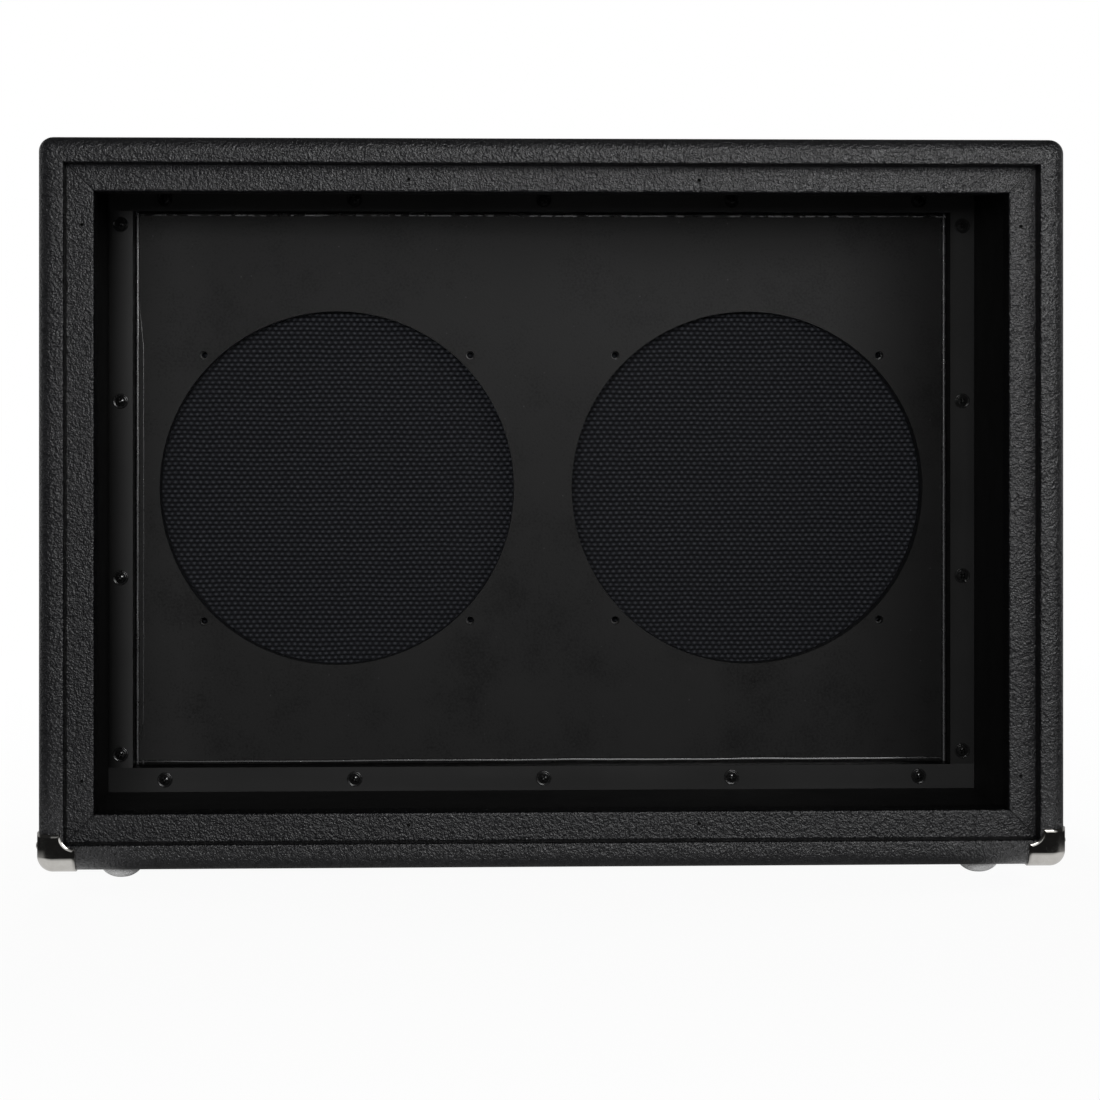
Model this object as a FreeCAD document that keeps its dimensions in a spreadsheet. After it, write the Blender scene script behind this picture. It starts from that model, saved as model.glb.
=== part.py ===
import FreeCAD, Part
import math
import os
import Sketcher
from types import SimpleNamespace

# Guitar speaker cabinet for two 12 inch speakers, empty and with its back off.
# Millimetres, +Z up, front (cloth side) towards -Y, open back towards +Y.
# The origin is on the floor under the middle of the cabinet. Left is -X.

SIZES = {
    # baffle layout, which sets the width and the height of the cabinet
    "cutout_dia": 279.4,        # speaker cut-out
    "cutout_web": 45.6,         # board left between the two cut-outs
    "side_margin": 37.5,        # cut-out edge to the side panel
    "end_margin": 96.6,         # cut-out edge to the top or bottom panel
    "bolt_land": 8.8,           # cut-out edge to the centre of a speaker bolt
    # plywood shell and its vinyl covering
    "cab_depth": 305,
    "panel_thick": 16.8,
    "cover_thick": 0.8,
    "edge_round": 10,           # outer edges, over the covering
    "finger_count": 15,         # fingers and gaps of a corner joint, along the depth
    "seam_step": 4.4,           # rim edge to the seam of the covering underneath
    # cleats that the back panel is screwed to
    "rear_recess": 15,          # rear rim to the seat of the back panel
    "cleat_width": 19,
    "cleat_depth": 19,
    "cleat_round": 2,
    "pilot_dia": 2.5,
    "pilot_depth": 14,
    "pilot_inset": 11,          # panel to the row of pilot holes
    "pilot_span_wide": 203.2,   # between the two holes of a long cleat
    "pilot_span_tall": 387,     # between the two holes of a short cleat
    # front: battens, baffle, spacers and cloth, counted from the front rim
    "front_recess": 14,
    "cloth_thick": 1,
    "spacer_thick": 8,
    "spacer_width": 24,
    "baffle_thick": 18,
    "baffle_play": 0.4,         # cloth to the covering inside the front rim
    "batten_width": 19,
    "batten_depth": 19,
    "sealant_leg": 4,
    "sealant_round": 3,
    # washer-head screws that hold the baffle against the battens
    "screws_wide": 5,
    "screws_tall": 4,
    "screw_inset_wide": 44,     # side panel to the first screw of a long batten
    "screw_inset_tall": 29.5,   # end panel to the first screw of a short batten
    "washer_dia": 12,
    "washer_thick": 1,
    "washer_lip": 0.9,
    "lip_height": 0.4,
    "dome_dia": 8,
    "dome_height": 2.2,
    "shank_dia": 3.8,
    "shank_length": 31,
    "tip_length": 5,
    "shank_play": 0.1,
    "batten_hole_play": 0.4,
    "drive_span": 4.8,
    "drive_width": 1.1,
    "drive_depth": 1.6,
    # tee nuts for the speaker bolts
    "nut_bore": 5,
    "nut_barrel_dia": 6.4,
    "nut_barrel_length": 10,
    "nut_flange_dia": 18,
    "nut_flange_thick": 1.2,
    "nut_play": 0.1,
    # bright metal corners
    "corner_thick": 1.2,
    "corner_leg": 26,           # along the width and up the height
    "corner_leg_deep": 36,      # along the depth
    "corner_bite": 10,          # hollowed end of the rim leaf
    "corner_bite_deep": 14,     # hollowed ends of the side and bottom leaves
    "corner_screw_rise": 16,    # screw to the corner edge it stands beside
    "corner_screw_near": 15,    # side screw to the rim
    "corner_screw_step": 7,     # bottom screw further in than the side screw
    "corner_screw_dia": 3,
    "corner_screw_length": 13,
    "corner_screw_tip": 3,
    "corner_head_dia": 7,
    "corner_head_height": 1.7,
    "corner_drive_span": 3.6,
    "corner_drive_width": 0.8,
    "corner_drive_depth": 1.1,
    # domed metal feet with a nail each
    "foot_height": 12,
    "foot_dia": 32,
    "foot_rim": 2.5,            # straight rim above the dome
    "foot_flat_dia": 11,
    "foot_dome_round": 15,
    "foot_gap": 10,             # foot to the metal corner
    "nail_dia": 3,
    "nail_length": 13,
    "nail_tip": 3,
    "nail_play": 0.1,
}


class Size:
    """A length worked out from the sheet: what it measures now, and the formula it stays bound to."""

    def __init__(self, value, formula):
        self.value = value
        self.formula = formula

    def __neg__(self):
        return Size(-self.value, f"(-{self.formula})")

    def __add__(self, other):
        other = as_size(other)
        return Size(self.value + other.value, f"({self.formula} + {other.formula})")

    def __sub__(self, other):
        other = as_size(other)
        return Size(self.value - other.value, f"({self.formula} - {other.formula})")

    def __mul__(self, other):
        other = as_size(other)
        return Size(self.value * other.value, f"({self.formula} * {other.formula})")

    def __truediv__(self, other):
        other = as_size(other)
        return Size(self.value / other.value, f"({self.formula} / {other.formula})")

    __rmul__ = __mul__

    def whole(self):
        return Size(round(self.value), f"round({self.formula})")


def as_size(number):
    return number if isinstance(number, Size) else Size(number, repr(number))


doc = FreeCAD.newDocument("speaker_cabinet")
sheet = doc.addObject("Spreadsheet::Sheet", "Sizes")
for row, (alias, number) in enumerate(SIZES.items(), 1):
    sheet.set(f"A{row}", alias)
    sheet.set(f"B{row}", str(number))
    sheet.setAlias(f"B{row}", alias)
doc.recompute()
s = SimpleNamespace(**{alias: Size(number, f"Sizes.{alias}") for alias, number in SIZES.items()})

X, Y, Z = FreeCAD.Vector(1, 0, 0), FreeCAD.Vector(0, 1, 0), FreeCAD.Vector(0, 0, 1)
ZERO = as_size(0)
UP_TO_REAR = FreeCAD.Rotation(X, -90)       # turns a piece made along +Z to stand along +Y
UP_TO_LEFT = FreeCAD.Rotation(Y, -90)       # the same, along -X
UP_TO_RIGHT = FreeCAD.Rotation(Y, 90)       # the same, along +X
UP_TO_FLOOR = FreeCAD.Rotation(X, 180)      # the same, along -Z
SLACK = as_size(5)                          # how far a cutting block reaches past what it cuts
TOUCH = 0.01                                # points nearer than this are the same

# levels across the cabinet, from its middle
inner_half_w = s.cutout_dia + s.cutout_web / 2 + s.side_margin
inner_half_h = s.cutout_dia / 2 + s.end_margin
wood_half_w = inner_half_w + s.panel_thick
wood_half_h = inner_half_h + s.panel_thick
half_w = wood_half_w + s.cover_thick
half_h = wood_half_h + s.cover_thick
half_d = s.cab_depth / 2
wood_half_d = half_d - s.cover_thick
mid_z = s.foot_height + half_h

# levels through the depth
seat_y = half_d - s.rear_recess
cleat_rear_y = seat_y - s.cover_thick
cloth_y = s.front_recess - half_d
spacer_y = cloth_y + s.cloth_thick
baffle_front_y = spacer_y + s.spacer_thick
baffle_rear_y = baffle_front_y + s.baffle_thick
batten_rear_y = baffle_rear_y + s.batten_depth

# the baffle and what shares its outline
baffle_half_w = inner_half_w - s.cover_thick - s.cloth_thick - s.baffle_play
baffle_half_h = inner_half_h - s.cover_thick - s.cloth_thick - s.baffle_play
speaker_x = (s.cutout_dia + s.cutout_web) / 2
bolt_step = (s.cutout_dia / 2 + s.bolt_land) * math.sqrt(0.5)

# each side of a frame runs from one corner to the next, as signs of X and Z
FRAME_SIDES = {
    "top": ((-1, 1), (1, 1)),
    "bottom": ((1, -1), (-1, -1)),
    "left": ((-1, -1), (-1, 1)),
    "right": ((1, 1), (1, -1)),
}
LONG_SIDES = ("top", "bottom")

nodes = {}


def bind(thing, **formulas):
    for name, size in formulas.items():
        thing.setExpression(name.replace("__", "."), as_size(size).formula)


def place(thing, x=ZERO, y=ZERO, z=ZERO, turn=None):
    thing.Placement = FreeCAD.Placement(FreeCAD.Vector(x.value, y.value, z.value), turn or FreeCAD.Rotation())
    bind(thing, Placement__Base__x=x, Placement__Base__y=y, Placement__Base__z=z)
    return thing


def as_node(thing, name):
    thing.Label = name
    nodes[name] = thing
    return thing


def boolean(kind, name, base, tool):
    result = doc.addObject(f"Part::{kind}", name)
    result.Base = base
    result.Tool = tool
    return result


def block(name, x0, x1, y0, y1, z0, z1):
    box = doc.addObject("Part::Box", name)
    bind(box, Length=x1 - x0, Width=y1 - y0, Height=z1 - z0)
    return place(box, x0, y0, z0)


def rod(name, diameter, length, x, y, z, turn=None):
    cylinder = doc.addObject("Part::Cylinder", name)
    bind(cylinder, Radius=diameter / 2, Height=length)
    return place(cylinder, x, y, z, turn)


def bundle(name, members):
    compound = doc.addObject("Part::Compound", name)
    compound.Links = members
    return compound


def new_body(name, many=False):
    body = doc.addObject("PartDesign::Body", name)
    body.AllowCompound = many
    return body


def origin_part(body, role):
    return next(feature for feature in body.Origin.OriginFeatures if feature.Role == role)


def new_sketch(body, name, plane, offset=ZERO):
    sketch = body.newObject("Sketcher::SketchObject", name)
    sketch.AttachmentSupport = [(origin_part(body, plane), "")]
    sketch.MapMode = "FlatFace"
    sketch.AttachmentOffset = FreeCAD.Placement(FreeCAD.Vector(0, 0, offset.value), FreeCAD.Rotation())
    bind(sketch, AttachmentOffset__Base__z=offset)
    return sketch


def pin_point(sketch, line, end, axis_kind, size):
    """Hold one coordinate of a point of the sketch at a size, or on the axis where the size is zero."""
    if size.formula == ZERO.formula:
        sketch.addConstraint(Sketcher.Constraint("PointOnObject", line, end, -2 if axis_kind == "X" else -1))
        return
    rule = Sketcher.Constraint(f"Distance{axis_kind}", -1, 1, line, end, size.value)
    sketch.setExpression(f"Constraints[{sketch.addConstraint(rule)}]", size.formula)


def draw_outline(sketch, points, domes=None):
    """Closed outline through the points; domes gives the radius of an edge that bulges to its right."""
    domes = domes or {}
    points = [(as_size(x), as_size(y)) for x, y in points]
    spots = [FreeCAD.Vector(x.value, y.value, 0) for x, y in points]
    ends = []
    for i, start in enumerate(spots):
        stop = spots[(i + 1) % len(spots)]
        if i not in domes:
            ends.append((sketch.addGeometry(Part.LineSegment(start, stop)), 1, 2))
            continue
        radius = domes[i].value
        chord = stop - start
        left = FreeCAD.Vector(-chord.y, chord.x, 0).normalize()
        centre = (start + stop) / 2 + left * math.sqrt(radius ** 2 - (chord.Length / 2) ** 2)
        angles = [math.atan2(spot.y - centre.y, spot.x - centre.x) for spot in (start, stop)]
        arc = Part.ArcOfCircle(Part.Circle(centre, Z, radius), *angles)
        ends.append((sketch.addGeometry(arc), 1, 2))
    for i, (line, first, last) in enumerate(ends):
        follower = ends[(i + 1) % len(ends)]
        sketch.addConstraint(Sketcher.Constraint("Coincident", line, last, follower[0], follower[1]))
    for (line, first, last), (x, y) in zip(ends, points):
        pin_point(sketch, line, first, "X", x)
        pin_point(sketch, line, first, "Y", y)
    for i, radius in domes.items():
        rule = Sketcher.Constraint("Radius", ends[i][0], radius.value)
        sketch.setExpression(f"Constraints[{sketch.addConstraint(rule)}]", radius.formula)


def draw_rectangle(sketch, x0, x1, y0, y1):
    draw_outline(sketch, [(x0, y0), (x1, y0), (x1, y1), (x0, y1)])


def draw_circle(sketch, x, y, diameter):
    spot = FreeCAD.Vector(x.value, y.value, 0)
    circle = sketch.addGeometry(Part.Circle(spot, Z, diameter.value / 2))
    pin_point(sketch, circle, 3, "X", x)
    pin_point(sketch, circle, 3, "Y", y)
    rule = Sketcher.Constraint("Diameter", circle, diameter.value)
    sketch.setExpression(f"Constraints[{sketch.addConstraint(rule)}]", diameter.formula)


def pad(body, sketch, length):
    feature = body.newObject("PartDesign::Pad", f"{sketch.Name}_pad")
    feature.Profile = sketch
    bind(feature, Length=length)
    return feature


def pocket(body, sketch, depth=None, along_normal=False):
    """Cut a sketch to a depth from its plane, or right through on both sides where no depth is given."""
    feature = body.newObject("PartDesign::Pocket", f"{sketch.Name}_cut")
    feature.Profile = sketch
    feature.Reversed = along_normal
    if depth is None:
        feature.Type = "ThroughAll"
        feature.SideType = "Symmetric"
    else:
        bind(feature, Length=depth)
    return feature


def revolve(body, sketch):
    feature = body.newObject("PartDesign::Revolution", f"{sketch.Name}_turned")
    feature.Profile = sketch
    feature.ReferenceAxis = (sketch, ["V_Axis"])
    feature.Angle = 360
    return feature


def round_edges(body, feature, radius, wanted=None):
    """Round the edges of a feature whose middle point passes the test, or all of them."""
    doc.recompute()
    names = [
        f"Edge{i}" for i, edge in enumerate(feature.Shape.Edges, 1)
        if wanted is None or wanted(edge.CenterOfMass)
    ]
    fillet = body.newObject("PartDesign::Fillet", f"{feature.Name}_round")
    fillet.Base = (feature, names)
    bind(fillet, Radius=radius)
    return fillet


def array(body, axis, span, count, second_axis=None):
    """Repeat the whole body along an axis, and by the same span and count along a second one."""
    doc.recompute()
    last = body.Tip
    pattern = body.newObject("PartDesign::LinearPattern", f"{body.Name}_row")
    pattern.Originals = [last]
    pattern.TransformMode = "Whole shape"
    pattern.Direction = (origin_part(body, axis), [""])
    bind(pattern, Length=span, Occurrences=count)
    if second_axis:
        pattern.Direction2 = (origin_part(body, second_axis), [""])
        bind(pattern, Length2=span, Occurrences2=count)
    body.Tip = pattern
    return pattern


def rounded_form(name, proud):
    """The whole outside of the cabinet as a rounded block, proud of the covering by a thickness."""
    body = place(new_body(name), z=mid_z)
    outline = new_sketch(body, f"{name}_outline", "XZ_Plane", -(half_d + proud))
    draw_rectangle(outline, -(half_w + proud), half_w + proud, -(half_h + proud), half_h + proud)
    solid = pad(body, outline, (half_d + proud) * 2)
    round_edges(body, solid, s.edge_round + proud)
    return body


def tunnel(name, lining, y0, y1):
    """The space inside the four panels, less a lining, between two levels of the depth."""
    reach_w, reach_h = inner_half_w - lining, inner_half_h - lining
    return block(name, -reach_w, reach_w, y0, y1, mid_z - reach_h, mid_z + reach_h)


def frame_strip(name, side, outside, width, y_rear, depth, mitred):
    """One side of a frame with the given half width and half height, mitred or with long sides through."""
    body = place(new_body(name), z=mid_z)
    far_w, far_h = outside
    near_w, near_h = far_w - width, far_h - width
    if not mitred and side in LONG_SIDES:
        near_w = far_w
    elif not mitred:
        far_h = near_h
    (ax, az), (bx, bz) = FRAME_SIDES[side]
    sketch = new_sketch(body, f"{name}_outline", "XZ_Plane", -y_rear)
    draw_outline(sketch, [
        (ax * far_w, az * far_h),
        (bx * far_w, bz * far_h),
        (bx * near_w, bz * near_h),
        (ax * near_w, az * near_h),
    ])
    pad(body, sketch, depth)
    return body


def round_inner_edge(body, side, outside, width, y_rear, radius):
    """Round the edge of a frame strip that faces the opening and the rear."""
    (ax, az), (bx, bz) = FRAME_SIDES[side]
    near_w, near_h = [half.value - width.value for half in outside]
    middle = FreeCAD.Vector((ax + bx) / 2 * near_w, y_rear.value, (az + bz) / 2 * near_h)
    return round_edges(body, body.Tip, radius, lambda spot: spot.isEqual(middle, TOUCH))


def turned_body(name, points, domes=None, many=False):
    """A solid of revolution about +Z, from its half outline as radius and height."""
    body = new_body(name, many)
    sketch = new_sketch(body, f"{name}_profile", "XZ_Plane")
    draw_outline(sketch, points, domes)
    revolve(body, sketch)
    return body


def cap_radius(diameter, height):
    """Radius of the sphere of a low dome."""
    return (diameter * diameter / 4 + height * height) / (height * 2)


def cut_cross(body, name, top, span, width, depth):
    """Cross recess for a driver, sunk from the top of a screw head."""
    sketch = new_sketch(body, f"{name}_drive", "XY_Plane", top)
    far, near = span / 2, width / 2
    quarter = [(far, -near), (far, near), (near, near)]
    points = []
    for _ in range(4):
        points += quarter
        quarter = [(-y, x) for x, y in quarter]
    draw_outline(sketch, points)
    pocket(body, sketch, depth)


def mirrored(name, source, normal):
    mirror = doc.addObject("Part::Mirroring", name)
    mirror.Source = source
    mirror.Normal = normal
    return mirror


def at_four_corners(name, source):
    """A piece made at the rear right bottom corner, and its mirror images at the other three."""
    rear_left = mirrored(f"{name}_rear_left", source, X)
    return {
        "rear_right": source,
        "rear_left": rear_left,
        "front_right": mirrored(f"{name}_front_right", source, Y),
        "front_left": mirrored(f"{name}_front_left", rear_left, Y),
    }


def row_spots(side, inset, span, count):
    """Places of a row of holes along one side, as X and Z from the middle of the cabinet."""
    (ax, az), (bx, bz) = FRAME_SIDES[side]
    spots = []
    for i in range(count):
        share = i / (count - 1) - 0.5
        along = span * share if share else ZERO
        if side in LONG_SIDES:
            spots.append((along, (az + bz) // 2 * (inner_half_h - inset)))
        else:
            spots.append(((ax + bx) // 2 * (inner_half_w - inset), along))
    return spots


def drill_row(body, name, y_rear, spots, diameter, depth=None):
    sketch = new_sketch(body, name, "XZ_Plane", -y_rear)
    for x, z in spots:
        draw_circle(sketch, x, z, diameter)
    return pocket(body, sketch, depth, along_normal=True)


# construction forms of the outside: bare wood, covering, and over the metal corners
wood_form = rounded_form("wood_form", -s.cover_thick)
cover_form = rounded_form("cover_form", ZERO)
corner_form = rounded_form("corner_form", s.corner_thick)

# metal corners and the holes for their screws
side_screw_y = half_d - s.corner_screw_near
bottom_screw_y = side_screw_y - s.corner_screw_step
side_screw_at = (half_w + s.corner_thick, side_screw_y, s.foot_height + s.corner_screw_rise)
bottom_screw_at = (half_w - s.corner_screw_rise, bottom_screw_y, s.foot_height - s.corner_thick)
corner_hole = s.corner_screw_dia + s.shank_play
corner_rods = bundle("corner_rods", [
    rod("side_rod", corner_hole, s.corner_screw_length, *side_screw_at, UP_TO_LEFT),
    rod("bottom_rod", corner_hole, s.corner_screw_length, *bottom_screw_at),
])

leg_x, leg_y, leg_z = half_w - s.corner_leg, half_d - s.corner_leg_deep, s.foot_height + s.corner_leg
past_x, past_y, past_z = half_w + s.corner_thick + SLACK, half_d + s.corner_thick + SLACK, -SLACK
corner_zone = block("corner_zone", leg_x, past_x, leg_y, past_y, past_z, leg_z)
bites = bundle("corner_bites", [
    rod("rim_bite", s.corner_bite * 2, s.corner_leg_deep * 2, leg_x, leg_y, leg_z, UP_TO_REAR),
    rod("side_bite", s.corner_bite_deep * 2, s.corner_leg * 2, leg_x, leg_y, leg_z, UP_TO_RIGHT),
    rod("bottom_bite", s.corner_bite_deep * 2, s.corner_leg * 2, leg_x, leg_y, leg_z, UP_TO_FLOOR),
])
corner_shell = boolean("Cut", "corner_shell", corner_form, cover_form)
corner_plain = boolean("Common", "corner_plain", corner_shell, corner_zone)
for i, bite in enumerate(bites.Links):
    corner_plain = boolean("Cut", f"corner_bitten_{i}", corner_plain, bite)
corner = boolean("Cut", "corner", corner_plain, corner_rods)
for place_name, piece in at_four_corners("corner", corner).items():
    as_node(piece, f"corner_{place_name}")


def corner_screw(name, spot, turn):
    body = turned_body(name, [
        (ZERO, -s.corner_screw_length),
        (s.corner_screw_dia / 2, s.corner_screw_tip - s.corner_screw_length),
        (s.corner_screw_dia / 2, ZERO),
        (s.corner_head_dia / 2, ZERO),
        (ZERO, s.corner_head_height),
    ], {3: cap_radius(s.corner_head_dia, s.corner_head_height)})
    drive = (s.corner_drive_span, s.corner_drive_width, s.corner_drive_depth)
    cut_cross(body, name, s.corner_head_height, *drive)
    return place(body, *spot, turn)


corner_screw_pair = bundle("corner_screw_pair", [
    corner_screw("side_screw", side_screw_at, UP_TO_RIGHT),
    corner_screw("bottom_screw", bottom_screw_at, UP_TO_FLOOR),
])
screw_pairs = at_four_corners("corner_screw_pair", corner_screw_pair)
as_node(bundle("corner_screws", list(screw_pairs.values())), "corner_screws")

# feet, each a dome on a nail, clear of the metal corners
foot_step = s.corner_leg + s.foot_gap + s.foot_dia / 2
nail_hole = s.nail_dia + s.nail_play
nail_rods = []
for y_name, y_sign in (("front", -1), ("rear", 1)):
    for x_name, x_sign in (("left", -1), ("right", 1)):
        foot_name = f"foot_{y_name}_{x_name}"
        foot_x, foot_y = x_sign * (half_w - foot_step), y_sign * (half_d - foot_step)
        foot = turned_body(foot_name, [
            (ZERO, -s.nail_length),
            (s.nail_dia / 2, s.nail_tip - s.nail_length),
            (s.nail_dia / 2, ZERO),
            (s.foot_dia / 2, ZERO),
            (s.foot_dia / 2, s.foot_rim),
            (s.foot_flat_dia / 2, s.foot_height),
            (ZERO, s.foot_height),
        ], {4: s.foot_dome_round})
        as_node(place(foot, foot_x, foot_y, s.foot_height, UP_TO_FLOOR), foot_name)
        nail_rods.append(rod(f"{foot_name}_hole", nail_hole, s.nail_length, foot_x, foot_y, s.foot_height))
screw_rods = at_four_corners("corner_rods", corner_rods)
shell_holes = bundle("shell_holes", list(screw_rods.values()) + nail_rods)

# plywood shell: the end panels carry the fingers that the side panels are cut to fit
finger = wood_half_d * 2 / s.finger_count
wood_low, wood_high = mid_z - wood_half_h, mid_z + wood_half_h
end_panels = []
for name, level in (("top_panel", inner_half_h), ("bottom_panel", -wood_half_h)):
    body = place(new_body(f"{name}_board"), z=mid_z)
    outline = new_sketch(body, f"{name}_outline", "XY_Plane", level)
    draw_rectangle(outline, -wood_half_w, wood_half_w, -wood_half_d, wood_half_d)
    pad(body, outline, s.panel_thick)
    gaps = new_sketch(body, f"{name}_gaps", "XY_Plane", level)
    for x_near, x_far in ((inner_half_w, wood_half_w + SLACK), (-wood_half_w - SLACK, -inner_half_w)):
        draw_rectangle(gaps, x_near, x_far, finger - wood_half_d, finger * 2 - wood_half_d)
    gap_cut = pocket(body, gaps)
    doc.recompute()
    gap_row = body.newObject("PartDesign::LinearPattern", f"{name}_gap_row")
    gap_row.Originals = [gap_cut]
    gap_row.Direction = (origin_part(body, "Y_Axis"), [""])
    bind(gap_row, Length=finger * (s.finger_count - 3), Occurrences=(s.finger_count - 1) / 2)
    body.Tip = gap_row
    end_panels.append(body)
    rounded = boolean("Common", f"{name}_rounded", body, wood_form)
    as_node(boolean("Cut", name, rounded, shell_holes), name)
for name, x0, x1 in (
    ("left_side_panel", -wood_half_w, -inner_half_w),
    ("right_side_panel", inner_half_w, wood_half_w),
):
    board = block(f"{name}_board", x0, x1, -wood_half_d, wood_half_d, wood_low, wood_high)
    for i, end_panel in enumerate(end_panels):
        board = boolean("Cut", f"{name}_joint_{i}", board, end_panel)
    rounded = boolean("Common", f"{name}_rounded", board, wood_form)
    as_node(boolean("Cut", name, rounded, shell_holes), name)

# vinyl covering: round the outside, over both rims and a little way in; its seams are underneath
bare_tunnel = tunnel("bare_tunnel", ZERO, -half_d, half_d)
bare_middle = tunnel("bare_middle", ZERO, baffle_front_y, cleat_rear_y)
covered_tunnel = tunnel("covered_tunnel", s.cover_thick, -half_d, half_d)
bare_shell = boolean("Cut", "bare_shell", wood_form, bare_tunnel)
covering = cover_form
for stage, tool in (
    ("opened", covered_tunnel),
    ("hollowed", bare_shell),
    ("turned_in", bare_middle),
    ("drilled", shell_holes),
):
    covering = boolean("Cut", f"covering_{stage}", covering, tool)
seam_x = inner_half_w - s.cover_thick - s.seam_step
underside = block("underside", -seam_x, seam_x, -half_d - SLACK, half_d + SLACK, past_z, mid_z)
as_node(boolean("Cut", "top_and_sides_covering", covering, underside), "top_and_sides_covering")
as_node(boolean("Common", "bottom_covering", covering, underside), "bottom_covering")

# cleats round the open back, each with its own strip of covering, mitred at the corners
shell_inside = (inner_half_w, inner_half_h)
covered_inside = (inner_half_w - s.cover_thick, inner_half_h - s.cover_thick)
wrap_depth = s.cleat_depth + s.cover_thick
for side in FRAME_SIDES:
    pilot_span = s.pilot_span_wide if side in LONG_SIDES else s.pilot_span_tall
    spots = row_spots(side, s.pilot_inset, pilot_span, 2)
    name = f"rear_cleat_{side}"
    cleat = frame_strip(name, side, shell_inside, s.cleat_width, cleat_rear_y, s.cleat_depth, True)
    round_inner_edge(cleat, side, shell_inside, s.cleat_width, cleat_rear_y, s.cleat_round - s.cover_thick)
    drill_row(cleat, f"cleat_pilots_{side}", cleat_rear_y, spots, s.pilot_dia, s.pilot_depth)
    as_node(cleat, name)
    wrapped = frame_strip(f"wrapped_{name}", side, covered_inside, s.cleat_width, seat_y, wrap_depth, True)
    round_inner_edge(wrapped, side, covered_inside, s.cleat_width, seat_y, s.cleat_round)
    drill_row(wrapped, f"wrap_pilots_{side}", seat_y, spots, s.pilot_dia, s.pilot_depth + s.cover_thick)
    as_node(boolean("Cut", f"cleat_covering_{side}", wrapped, cleat), f"cleat_covering_{side}")

# battens behind the baffle, with the rows of screws that pull the baffle against them
head_top = s.washer_thick + s.dome_height
washer_inside = s.washer_dia / 2 - s.washer_lip
screw_rows = {}
for side in FRAME_SIDES:
    if side in LONG_SIDES:
        screw_axis, screw_count = "X_Axis", s.screws_wide.whole()
        screw_span = (inner_half_w - s.screw_inset_wide) * 2
    else:
        screw_axis, screw_count = "Y_Axis", s.screws_tall.whole()
        screw_span = (inner_half_h - s.screw_inset_tall) * 2
    spots = row_spots(side, s.batten_width / 2, screw_span, screw_count.value)
    screw_rows[side] = spots
    name = f"baffle_batten_{side}"
    batten = frame_strip(name, side, shell_inside, s.batten_width, batten_rear_y, s.batten_depth, False)
    drill_row(batten, f"batten_holes_{side}", batten_rear_y, spots, s.shank_dia + s.batten_hole_play)
    as_node(batten, name)
    screw_name = f"batten_screws_{side}"
    screws = turned_body(screw_name, [
        (ZERO, -s.shank_length),
        (s.shank_dia / 2, s.tip_length - s.shank_length),
        (s.shank_dia / 2, ZERO),
        (s.washer_dia / 2, ZERO),
        (s.washer_dia / 2, s.washer_thick + s.lip_height),
        (washer_inside, s.washer_thick + s.lip_height),
        (washer_inside, s.washer_thick),
        (s.dome_dia / 2, s.washer_thick),
        (ZERO, head_top),
    ], {7: cap_radius(s.dome_dia, s.dome_height)}, many=True)
    cut_cross(screws, screw_name, head_top, s.drive_span, s.drive_width, s.drive_depth)
    array(screws, screw_axis, screw_span, screw_count)
    first_x, first_z = spots[0] if side in LONG_SIDES else spots[-1]
    as_node(place(screws, first_x, batten_rear_y, mid_z + first_z, UP_TO_REAR), screw_name)

# baffle with its cut-outs, bolt holes and the blind ends of the batten screws
baffle = place(new_body("baffle_board"), z=mid_z)
baffle_outline = new_sketch(baffle, "baffle_outline", "XZ_Plane", -baffle_rear_y)
draw_rectangle(baffle_outline, -baffle_half_w, baffle_half_w, -baffle_half_h, baffle_half_h)
pad(baffle, baffle_outline, s.baffle_thick)
drill_row(baffle, "cutouts", baffle_rear_y, [(-speaker_x, ZERO), (speaker_x, ZERO)], s.cutout_dia)
bolt_spots = [
    (speaker * speaker_x + dx * bolt_step, dz * bolt_step)
    for speaker in (-1, 1) for dx in (-1, 1) for dz in (-1, 1)
]
drill_row(baffle, "bolt_holes", baffle_rear_y, bolt_spots, s.nut_barrel_dia + s.nut_play)
all_screw_spots = [spot for spots in screw_rows.values() for spot in spots]
screw_bite = s.shank_length - s.batten_depth
drill_row(baffle, "screw_pilots", baffle_rear_y, all_screw_spots, s.shank_dia + s.shank_play, screw_bite)
as_node(baffle, "baffle_board")

# bead of sealant in the corner between the battens and the baffle
sealant = place(new_body("baffle_sealant"), z=mid_z)
sealant_outline = new_sketch(sealant, "sealant_outline", "XZ_Plane", -(baffle_rear_y + s.sealant_leg))
bead_w, bead_h = inner_half_w - s.batten_width, inner_half_h - s.batten_width
draw_rectangle(sealant_outline, -bead_w, bead_w, -bead_h, bead_h)
clear_w, clear_h = bead_w - s.sealant_leg, bead_h - s.sealant_leg
draw_rectangle(sealant_outline, -clear_w, clear_w, -clear_h, clear_h)
bead = pad(sealant, sealant_outline, s.sealant_leg)
bead_rear_y = (baffle_rear_y + s.sealant_leg).value
bead_edges = [
    FreeCAD.Vector(x * clear_w.value, bead_rear_y, z * clear_h.value)
    for x, z in ((0, 1), (0, -1), (1, 0), (-1, 0))
]
round_edges(sealant, bead, s.sealant_round, lambda spot: any(spot.isEqual(e, TOUCH) for e in bead_edges))
as_node(sealant, "baffle_sealant")

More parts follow.
